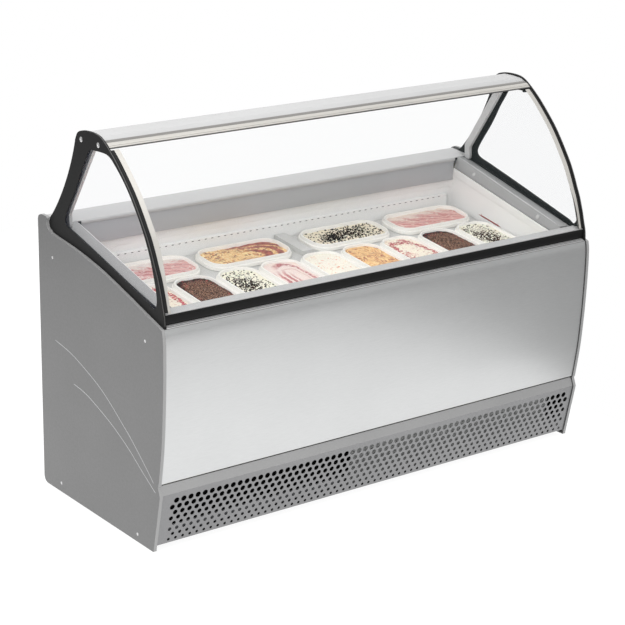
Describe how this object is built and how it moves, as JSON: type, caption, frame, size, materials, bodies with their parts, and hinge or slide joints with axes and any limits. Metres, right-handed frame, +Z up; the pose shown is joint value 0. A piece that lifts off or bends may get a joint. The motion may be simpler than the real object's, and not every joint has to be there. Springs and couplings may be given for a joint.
{
  "type": "curved-glass ice cream display freezer",
  "caption": "Low insulated display freezer with a sloping well of lift-out tubs under a lift-up curved glass, a narrow lit canopy, a rear serving gap and a perforated kick grille.",
  "frame": {"origin": "centre of the cabinet's footprint, on the floor under the feet", "axes": "+Z up, +X along the cabinet's width (to the right of a customer who looks at the front), -Y towards the customer, +Y towards the server"},
  "size_m": [1.68, 0.708, 1.2091],
  "materials": {
    "panel_grey": "satin",
    "front_silver": "satin",
    "frame_black": "satin",
    "clear_glass": "gloss",
    "bumper_black": "satin",
    "rail_grey": "satin",
    "trim_grey": "satin",
    "bright_trim": "polished",
    "brushed_trim": "satin",
    "canopy_white": "satin",
    "lamp_white": "matte",
    "liner_white": "satin",
    "foam_cream": "matte",
    "tub_white": "satin",
    "fin_aluminium": "satin",
    "galvanised": "satin",
    "machine_black": "satin",
    "fan_black": "matte",
    "foot_black": "matte",
    "control_black": "satin"
  },
  "bodies": {
    "cabinet": {"left_end_panel": "panel_grey", "right_end_panel": "panel_grey", "kick_grille": "panel_grey", "rear_panel": "panel_grey", "rear_grille": "panel_grey", "front_panel": "front_silver", "left_side_frame": "frame_black", "right_side_frame": "frame_black", "left_side_glass": "clear_glass", "right_side_glass": "clear_glass", "bumper_strip": "bumper_black", "front_rail": "rail_grey", "rear_worktop": "rail_grey", "rear_riser": "trim_grey", "left_inner_trim": "trim_grey", "right_inner_trim": "trim_grey", "left_rear_post": "trim_grey", "right_rear_post": "trim_grey", "grille_baffle": "trim_grey", "front_trim_lip": "bright_trim", "canopy_nose": "brushed_trim", "top_canopy": "canopy_white", "led_lamp": "lamp_white", "tank_liner": "liner_white", "air_duct": "liner_white", "tub_support_grid": "liner_white", "insulated_tank": "foam_cream", "evaporator_coil": "fin_aluminium", "condenser_coil": "fin_aluminium", "base_frame": "galvanised", "compressor": "machine_black", "evaporator_fan_frame": "fan_black", "condenser_fan_shroud": "fan_black", "condensate_tray": "fan_black", "foot_front_left": "foot_black", "foot_front_right": "foot_black", "foot_rear_left": "foot_black", "foot_rear_right": "foot_black", "controller": "control_black", "power_inlet": "control_black"},
    "lift_glass": {"front_glass": "clear_glass", "left_glass_trim": "bright_trim", "right_glass_trim": "bright_trim", "glass_hinge_profile": "bright_trim"},
    "tub_front_1": {"tub_front_1": "tub_white"},
    "tub_front_2": {"tub_front_2": "tub_white"},
    "tub_front_3": {"tub_front_3": "tub_white"},
    "tub_front_4": {"tub_front_4": "tub_white"},
    "tub_front_5": {"tub_front_5": "tub_white"},
    "tub_front_6": {"tub_front_6": "tub_white"},
    "tub_front_7": {"tub_front_7": "tub_white"},
    "tub_front_8": {"tub_front_8": "tub_white"},
    "tub_front_9": {"tub_front_9": "tub_white"},
    "tub_rear_1": {"tub_rear_1": "tub_white"},
    "tub_rear_2": {"tub_rear_2": "tub_white"},
    "tub_rear_3": {"tub_rear_3": "tub_white"},
    "tub_rear_4": {"tub_rear_4": "tub_white"},
    "condenser_fan": {"condenser_fan_blade": "fan_black"},
    "evaporator_fan": {"evaporator_fan_blade": "fan_black"},
    "power_switch": {"rocker_switch": "control_black"}
  },
  "joints": [
    {"name": "glass_lift", "type": "hinge", "parent": "cabinet", "child": "lift_glass", "pos_m": [0, -0.017, 1.196], "axis": [-1, 0, 0], "range_deg": [0, 70]},
    {"name": "tub_front_1_lift_out", "type": "slide", "parent": "cabinet", "child": "tub_front_1", "axis": [0, 0, 1], "range_m": [0, 0.18]},
    {"name": "tub_front_2_lift_out", "type": "slide", "parent": "cabinet", "child": "tub_front_2", "axis": [0, 0, 1], "range_m": [0, 0.18]},
    {"name": "tub_front_3_lift_out", "type": "slide", "parent": "cabinet", "child": "tub_front_3", "axis": [0, 0, 1], "range_m": [0, 0.18]},
    {"name": "tub_front_4_lift_out", "type": "slide", "parent": "cabinet", "child": "tub_front_4", "axis": [0, 0, 1], "range_m": [0, 0.18]},
    {"name": "tub_front_5_lift_out", "type": "slide", "parent": "cabinet", "child": "tub_front_5", "axis": [0, 0, 1], "range_m": [0, 0.18]},
    {"name": "tub_front_6_lift_out", "type": "slide", "parent": "cabinet", "child": "tub_front_6", "axis": [0, 0, 1], "range_m": [0, 0.18]},
    {"name": "tub_front_7_lift_out", "type": "slide", "parent": "cabinet", "child": "tub_front_7", "axis": [0, 0, 1], "range_m": [0, 0.18]},
    {"name": "tub_front_8_lift_out", "type": "slide", "parent": "cabinet", "child": "tub_front_8", "axis": [0, 0, 1], "range_m": [0, 0.18]},
    {"name": "tub_front_9_lift_out", "type": "slide", "parent": "cabinet", "child": "tub_front_9", "axis": [0, 0, 1], "range_m": [0, 0.18]},
    {"name": "tub_rear_1_lift_out", "type": "slide", "parent": "cabinet", "child": "tub_rear_1", "axis": [0, 0, 1], "range_m": [0, 0.18]},
    {"name": "tub_rear_2_lift_out", "type": "slide", "parent": "cabinet", "child": "tub_rear_2", "axis": [0, 0, 1], "range_m": [0, 0.18]},
    {"name": "tub_rear_3_lift_out", "type": "slide", "parent": "cabinet", "child": "tub_rear_3", "axis": [0, 0, 1], "range_m": [0, 0.18]},
    {"name": "tub_rear_4_lift_out", "type": "slide", "parent": "cabinet", "child": "tub_rear_4", "axis": [0, 0, 1], "range_m": [0, 0.18]},
    {"name": "condenser_fan_spin", "type": "hinge", "parent": "cabinet", "child": "condenser_fan", "pos_m": [0.32, -0.159, 0.136], "axis": [0, 1, 0], "continuous": true},
    {"name": "evaporator_fan_spin", "type": "hinge", "parent": "cabinet", "child": "evaporator_fan", "pos_m": [0.59, 0.018, 0.466], "axis": [0, 1, 0], "continuous": true},
    {"name": "power_switch_rock", "type": "hinge", "parent": "cabinet", "child": "power_switch", "pos_m": [0.73, 0.339, 0.821], "axis": [-1, 0, 0], "range_deg": [0, 14]}
  ]
}
